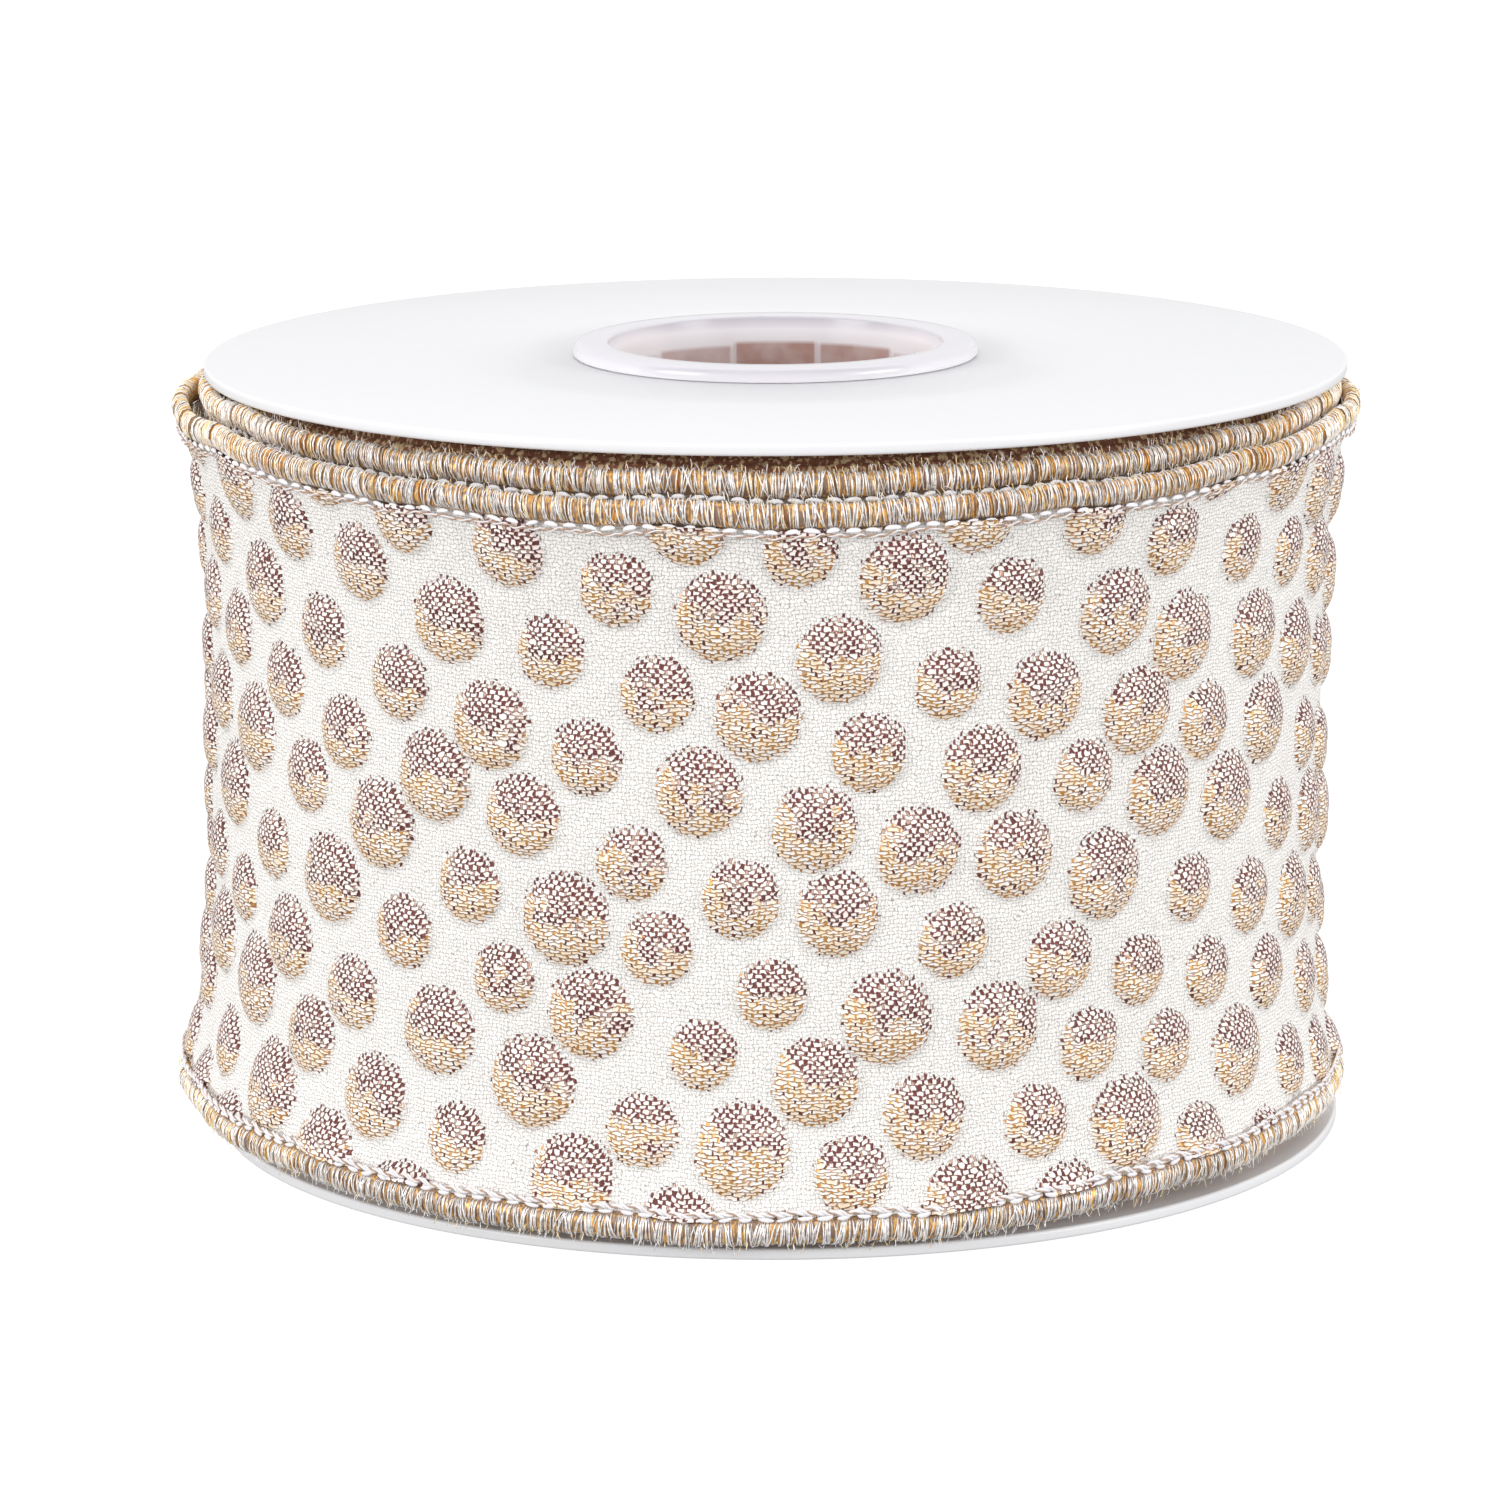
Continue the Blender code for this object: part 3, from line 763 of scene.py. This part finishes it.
# ---------------------------------------------------------------------------------------------
# Outer turn. A double cloth in full view: an off-white plain weave in front of a plain backing. Round dots
# of coarser metallic weave are puffed up off the backing, in slanting rows with two sizes mixed at random.
FIRST_DOT = np.array([-446.7, 1.66])    # along and up; along runs to the right, against the winding
ROW_STEP = np.array([9.17, -2.46])      # from one dot to the next in a row
RANK_STEP = np.array([3.36, -8.28])     # from one row to the next
DOT_JITTER = 0.806
DOT_SMALL, DOT_LARGE = 3.02, 3.62
DOT_RISE = 0.95
DOT_REACH = 36                          # a dot placed higher or lower than this is off the ribbon
CELL = 0.45                             # grid step of the puffed cloth
PATTERN = 100.0                         # millimetres of ribbon to one unit of the pattern map
UPPER_WEAVE = (0.35, 0.37, 0.76)        # cell width and height, and the upright thread's share of a cell
LOWER_WEAVE = (0.50, 0.32, 0.43)
GROUND_WEAVE = (0.36, 0.34, 0.78)
TAIL_FROM = 1.985                       # where the outer turn ends and the loose tail begins


def dots():
    """Centres and radii: a slanting lattice, each point moved a little, in two mixed sizes."""
    chance = np.random.default_rng(11)
    i, j = np.meshgrid(np.arange(-40, 41), np.arange(-20, 21), indexing="ij")
    places = FIRST_DOT + i.reshape(-1, 1) * ROW_STEP + j.reshape(-1, 1) * RANK_STEP
    places += chance.uniform(-1, 1, places.shape) * DOT_JITTER
    radius = np.where(chance.random(len(places)) < 0.5, DOT_SMALL, DOT_LARGE)
    radius = radius + chance.normal(0, 0.12, len(places))
    keep = np.abs(places[:, 1]) < DOT_REACH
    return places[keep], radius[keep]


DOT_AT, DOT_R = dots()


def puffed(name, first, last):
    """A length of dotted cloth with its pattern values.

    Each point takes its nearest dot: inside is 1 at the dot's middle and falls to 0 at its rim. The cloth
    rises over the dot as rise times (1 - d^2.6)^0.75, where d is the distance over the radius. A shallow
    fold lies just below the dot's middle, and the ground dips round its rim."""
    length = run_length(last) - run_length(first)
    turns = np.linspace(first, last, int(length / CELL) + 1)
    across = np.linspace(-CLOTH_ACROSS, CLOTH_ACROSS, int(2 * HEM_MID / CELL) + 1)
    along, up = np.meshgrid(-run_length(turns), across * HEM_MID, indexing="ij")
    best = np.full(along.shape, 9.0)
    right, above = np.zeros(along.shape), np.zeros(along.shape)
    size = np.full(along.shape, DOT_LARGE)
    near = (DOT_AT[:, 0] > along.min() - 5) & (DOT_AT[:, 0] < along.max() + 5)
    for (s, t), r in zip(DOT_AT[near], DOT_R[near]):
        rows = np.searchsorted(-along[:, 0], [-s - r * 2, -s + r * 2])
        block = slice(*rows)
        d = np.hypot(along[block] - s, up[block] - t) / r
        closer = d < best[block]
        best[block] = np.where(closer, d, best[block])
        right[block] = np.where(closer, (along[block] - s) / r, right[block])
        above[block] = np.where(closer, (up[block] - t) / r, above[block])
        size[block] = np.where(closer, r, size[block])
    puff = DOT_RISE * size / DOT_LARGE * (1 - np.clip(best, 0, 1) ** 2.6) ** 0.75
    fold = 0.10 * np.exp(-((above + 0.12) / 0.10) ** 2) * np.clip(1 - best, 0, 1)
    pucker = 0.10 * np.exp(-(np.clip(best - 1, 0, 9) / 0.35) ** 2) * (best >= 1)
    grid = on_ribbon(turns[:, None], across[None, :], 0.2 + puff - fold - pucker)
    uv = np.stack([along, up], -1) / PATTERN
    made = surface(name, grid[:, ::-1], uv=uv[:, ::-1])
    for key, value in (("inside", 1 - best), ("right", right), ("above", above)):
        mark(made, key, np.clip(value, -3, 3)[:, ::-1])
    return made


def weave(tree, place, wide, high, warp_share):
    """Plain weave from the pattern map: where an upright thread is on top, and the top thread's height.

    The map is cut in cells of wide by high. Cells alternate like a chessboard between an upright and a
    lying thread. An upright thread fills only warp_share of its cell, so that lying ones look like longer
    grains. Height falls off across each thread and dips at its ends."""
    split = put(tree, "SeparateXYZ", {0: place})
    column = calc(tree, "MULTIPLY", split.outputs[0], PATTERN / wide)
    row = calc(tree, "MULTIPLY", split.outputs[1], PATTERN / high)
    both = calc(tree, "ADD", calc(tree, "FLOOR", column), calc(tree, "FLOOR", row))
    x = calc(tree, "ABSOLUTE", calc(tree, "SUBTRACT", calc(tree, "FRACT", column), 0.5))
    y = calc(tree, "ABSOLUTE", calc(tree, "SUBTRACT", calc(tree, "FRACT", row), 0.5))
    narrow = calc(tree, "LESS_THAN", calc(tree, "MULTIPLY", x, 2.0), warp_share)
    upright = calc(tree, "MULTIPLY", calc(tree, "PINGPONG", both, 1.0), narrow)
    warp_top = calc(tree, "SUBTRACT", 1.0, calc(tree, "MULTIPLY", calc(tree, "POWER", x, 2.0), 8.0))
    weft_top = calc(tree, "SUBTRACT", 1.0, calc(tree, "MULTIPLY", calc(tree, "POWER", y, 2.0), 3.9))
    height = put(tree, "Mix", {0: upright, 2: weft_top, 3: warp_top}).outputs[0]
    cell = put(tree, "CombineXYZ", {0: calc(tree, "FLOOR", column), 1: calc(tree, "FLOOR", row)}).outputs[0]
    chance = put(tree, "TexWhiteNoise", {"Vector": cell}, noise_dimensions="2D")
    return upright, height, chance.outputs["Value"]


def dotted_cloth():
    """Off-white ground weave, and dots of metallic thread crossed with cream, with painted reflection and
    shade.

    A dot's upright threads are painted maroon over its upper right, a painted reflection of the dark above
    the puffed film thread, and gold below and at its left, partly the thread's own colour and partly a
    painted reflection of what is below; the border is ragged. The maroon uprights nearly fill their small
    cells, and in the gold part the lying threads are long. Paler patches are a painted sheen and the
    brightest lying threads painted glints. The gaps between threads carry painted shade, and the gold is
    painted darker along a dot's lower rim. The cloth round a dot is pulled in and painted a little darker
    for the shade at the dot's foot."""
    made, tree, shader = finish("dotted_cloth")
    place = put(tree, "UVMap", uv_map="pattern").outputs[0]
    inside, above, right = value_of(tree, "inside"), value_of(tree, "above"), value_of(tree, "right")
    # Painted reflection: the mask dark marks a dot's upper right, painted maroon for the dark above the
    # film thread; it also picks that part's weave cells.
    drift = noise(tree, place, 48.0, 5.0)
    left = calc(tree, "MAXIMUM", calc(tree, "SUBTRACT", -0.25, right), 0.0)
    shade = calc(tree, "SUBTRACT", above, calc(tree, "MULTIPLY", left, 1.2))
    shade = calc(tree, "ADD", shade, calc(tree, "MULTIPLY", calc(tree, "SUBTRACT", drift, 0.5), 3.0))
    dark = step(tree, shade, -0.10, 0.02)
    sway = put(tree, "TexNoise", {"Vector": place, "Scale": 120.0, "Detail": 2.0}).outputs["Color"]
    sway = put(tree, "VectorMath", {0: sway, 1: (0.5, 0.5, 0.5)}, operation="SUBTRACT").outputs[0]
    sway = put(tree, "VectorMath", {0: sway, "Scale": 0.0080}, operation="SCALE").outputs[0]
    swayed = put(tree, "VectorMath", {0: place, 1: sway}, operation="ADD").outputs[0]
    upper, lower = weave(tree, swayed, *UPPER_WEAVE), weave(tree, swayed, *LOWER_WEAVE)
    upright, height, chance = [put(tree, "Mix", {0: dark, 2: b, 3: a}).outputs[0]
                               for a, b in zip(upper, lower)]
    _, fine_height, fine_chance = weave(tree, swayed, *GROUND_WEAVE)
    fringe = calc(tree, "MULTIPLY", upright, calc(tree, "MULTIPLY", step(tree, above, 0.1, 0.9), 0.12))
    ragged = calc(tree, "ADD", calc(tree, "MULTIPLY_ADD", chance, 0.13, inside), fringe)
    dot = step(tree, ragged, 0.06, 0.08)
    # Painted sheen and painted glints: paler warps in slow patches, and bright lying threads mostly within
    # them.
    sheen_patch = step(tree, noise(tree, place, 85.0), 0.56, 0.60)
    # Painted shade: the gold is darker along the lower rim of a dot.
    low_rim_shade = calc(tree, "MULTIPLY", step(tree, inside, 0.30, 0.0), step(tree, above, 0.1, -0.5))
    gold = colours(tree, low_rim_shade, (0.60, 0.30, 0.09), (0.50, 0.21, 0.04))
    gold = colours(tree, step(tree, chance, 0.76, 0.80), gold, (0.17, 0.05, 0.025))
    warp = colours(tree, dark, gold, (0.15, 0.042, 0.037))
    warp = colours(tree, calc(tree, "MULTIPLY", sheen_patch, 0.6), warp, (0.78, 0.56, 0.44))
    weft = colours(tree, dark, (0.97, 0.80, 0.60), (0.96, 0.83, 0.79))
    glint = step(tree, calc(tree, "MULTIPLY_ADD", sheen_patch, 0.35, chance), 0.55, 0.62)
    weft = colours(tree, glint, weft, (1.0, 0.95, 0.89))
    metal = colours(tree, upright, weft, warp)
    # Painted shade: the gaps between a dot's threads, where the height is low, are painted dark brown.
    gap = step(tree, height, 0.24, 0.62)
    gap_shade = colours(tree, dark, (0.18, 0.06, 0.016), (0.13, 0.04, 0.033))
    metal = colours(tree, gap, gap_shade, metal)
    # Painted shade: the ground is dark grey where its threads dip between one another; the tone also varies
    # at random from cell to cell.
    tone = calc(tree, "MULTIPLY_ADD", fine_chance, 0.14, 0.86)
    tone = calc(tree, "MULTIPLY", step(tree, fine_height, 0.1, 0.6), tone)
    ground = colours(tree, tone, (0.40, 0.375, 0.345), (0.98, 0.955, 0.93))
    # Painted shade: the ground is a little darker just round each dot, where the cloth is pulled in.
    foot_shade = calc(tree, "POWER", step(tree, inside, -0.30, 0.0), 2.0)
    ground = colours(tree, calc(tree, "MULTIPLY", foot_shade, 0.12), ground, (0.36, 0.33, 0.31))
    threads = put(tree, "Mix", {0: dot, 2: calc(tree, "MULTIPLY", fine_height, 0.5), 3: height}).outputs[0]
    shine = calc(tree, "MULTIPLY", dot, calc(tree, "MULTIPLY_ADD", upright, 0.35, 0.08))
    feed(tree, shader, {"Base Color": colours(tree, dot, ground, metal), "Metallic": shine,
                        "Roughness": calc(tree, "MULTIPLY_ADD", dot, -0.5, 0.85),
                        "Normal": relief(tree, threads, 0.7, 0.0001)})
    return made


dot_finish = dotted_cloth()
outer_face = puffed("outer_cloth", 1.0, TAIL_FROM)
outer_face.data.materials.append(dot_finish)
on_core(outer_face)
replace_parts(outer_face, "ribbon_outer_turn")
outer_back = on_core(backing("outer_backing", 1.0, TAIL_FROM))
outer_hems = bound_hem("outer_turn", "top", 1.0, TAIL_FROM, 31, on_core)
outer_hems += bound_hem("outer_turn", "bottom", 1.0, TAIL_FROM, 32, on_core)

# ---------------------------------------------------------------------------------------------
# Loose tail. The cut end lies loose on the roll at the back.
TAIL_TO = 2 + TAIL_TURN


def on_tail(piece):
    """The piece keeps its place, which is baked into its mesh."""
    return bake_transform(piece)


tail_face = puffed("tail_cloth", TAIL_FROM, TAIL_TO)
tail_face.data.materials.append(dot_finish)
tail_back = backing("tail_backing", TAIL_FROM, TAIL_TO)
on_tail(tail_face)
on_tail(tail_back)
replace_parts(tail_face, "ribbon_tail")
tail_hems = bound_hem("tail", "top", TAIL_FROM, TAIL_TO, 41, on_tail)
tail_hems += bound_hem("tail", "bottom", TAIL_FROM, TAIL_TO, 42, on_tail)

# ---------------------------------------------------------------------------------------------
# Studio. A glowing white table and soft light from all round, so that the spool casts no shadow.
# The camera looks down a little from the front.
CAMERA_BACK, CAMERA_ABOVE = 0.5596, 0.0824     # from the axis, and above the top flange
CAMERA_DOWN, CAMERA_ROLL = 11.96, -0.0039      # degrees, radians
LENS, SENSOR, SHIFT = 151.97, 36.0, -0.018
TABLE_HALF, TABLE_DROP = 1500.0, 0.02          # millimetres
SKY_BELOW = 0.42                               # the sky's strength below the horizon; above it is 1

scene = bpy.context.scene
scene.view_settings.view_transform = "Standard"
lens = bpy.data.cameras.new("camera")
camera = bpy.data.objects.new("camera", lens)
scene.collection.objects.link(camera)
scene.camera = camera
lens.lens, lens.sensor_width, lens.shift_x = LENS, SENSOR, SHIFT
lens.clip_start, lens.clip_end = 0.05, 5.0
camera.location = (0.0, -CAMERA_BACK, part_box("top_flange")[1].z + CAMERA_ABOVE)
camera.rotation_mode = "ZYX"
camera.rotation_euler = (math.radians(90 - CAMERA_DOWN), 0.0, CAMERA_ROLL)

ends = (-TABLE_HALF, TABLE_HALF)
table_top = surface("table_top", np.array([[(x, y, -TABLE_DROP) for x in ends] for y in ends]))
table_top.data.flip_normals()
table_white, tree, shader = finish("table_white")
feed(tree, shader, {"Base Color": (0.0, 0.0, 0.0, 1), "Emission Color": (1.0, 1.0, 1.0, 1),
                    "Emission Strength": 1.0})
table_top.data.materials.append(table_white)
table_top.visible_diffuse = table_top.visible_glossy = table_top.visible_transmission = False

scene.world = scene.world or bpy.data.worlds.new("studio")
scene.world.use_nodes = True
sky = scene.world.node_tree
upwards = put(sky, "SeparateXYZ", {0: put(sky, "TexCoord").outputs["Generated"]}).outputs[2]
level = put(sky, "MapRange", {"Value": upwards, "From Min": -0.25, "From Max": 0.15, "To Min": SKY_BELOW})
feed(sky, sky.nodes["Background"], {"Color": (1.0, 1.0, 1.0, 1), "Strength": level.outputs[0]})


def soft_box(name, place, aim, size, watts):
    """A square area light at place, facing aim, in metres."""
    data = bpy.data.lights.new(name, "AREA")
    data.size, data.energy = size, watts
    lamp = bpy.data.objects.new(name, data)
    lamp.location = place
    heading = Vector(aim) - Vector(place)
    lamp.rotation_euler = heading.to_track_quat("-Z", "Y").to_euler()
    scene.collection.objects.link(lamp)


middle = (0.0, 0.0, 0.036)
soft_box("front_left", (-0.78, -0.55, 0.22), middle, size=0.4, watts=4.2)
soft_box("front_right", (0.82, -0.48, 0.18), middle, size=0.4, watts=3.8)
soft_box("over", (-0.1, -0.4, 0.85), middle, size=0.5, watts=0.6)
